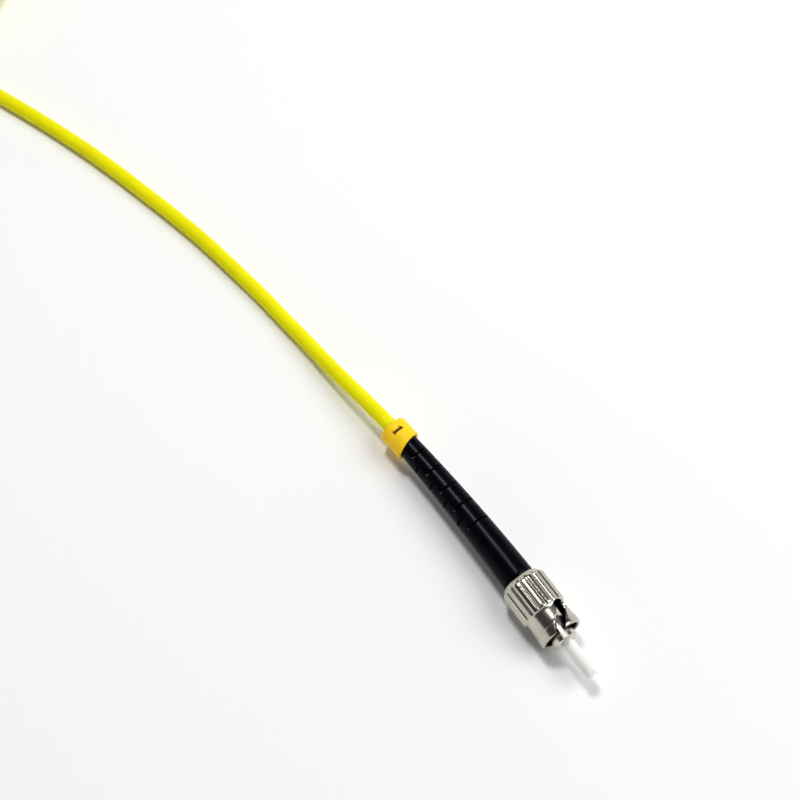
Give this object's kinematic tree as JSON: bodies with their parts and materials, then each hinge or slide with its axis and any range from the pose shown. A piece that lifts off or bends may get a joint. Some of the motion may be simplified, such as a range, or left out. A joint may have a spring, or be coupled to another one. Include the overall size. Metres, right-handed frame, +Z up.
{
  "type": "st fibre connector",
  "caption": "Bayonet fibre-optic connector with ceramic ferrule, sprung turning coupling nut, bend-relief boot and marker ring on yellow simplex cable",
  "frame": {"origin": "bottom centre of the connector's box, cable left out: the surface that the coupling nut lies on, half way from the ferrule's tip to the marker ring's rear end", "axes": "+X from the cable towards the ferrule's tip along the connector's axis, +Z up, +Y completes the right-handed frame"},
  "size_m": [0.2455, 0.0478, 0.0096],
  "materials": {
    "ceramic": "polished zirconia",
    "glass": "clear fibre",
    "buffer": "satin extruded plastic",
    "nickel": "nickel-plated brass",
    "steel": "spring steel",
    "boot_black": "glossy moulded elastomer",
    "marker_amber": "soft moulded plastic",
    "jacket_yellow": "smooth extruded jacket",
    "yarn": "aramid fibre bundle",
    "tie_black": "hook-and-loop strip"
  },
  "bodies": {
    "plug_body": {"ferrule": "ceramic", "glass_fibre": "glass", "fibre_buffer": "buffer", "ferrule_holder": "nickel", "connector_body": "nickel", "coil_spring": "steel", "retaining_ring": "steel", "crimp_sleeve": "nickel", "crimped_yarn": "yarn", "boot": "boot_black", "marker_ring": "marker_amber", "cable": "jacket_yellow", "cable_coil": "jacket_yellow", "cable_tail": "jacket_yellow", "coil_tie": "tie_black", "end_buffer": "buffer", "end_yarn": "yarn"},
    "nut_slider": {"thrust_washer": "steel"},
    "nut": {"coupling_nut": "nickel"}
  },
  "joints": [
    {"name": "nut_slide", "type": "slide", "parent": "plug_body", "child": "nut_slider", "axis": [1, 0, 0], "range_m": [0, 0.0015], "stiffness_N_per_m": 3000, "springref_m": -0.0015, "deforming": ["coil_spring"]},
    {"name": "nut_turn", "type": "hinge", "parent": "nut_slider", "child": "nut", "pos_m": [0.0169, 0, 0.0046], "axis": [1, 0, 0], "continuous": true}
  ]
}
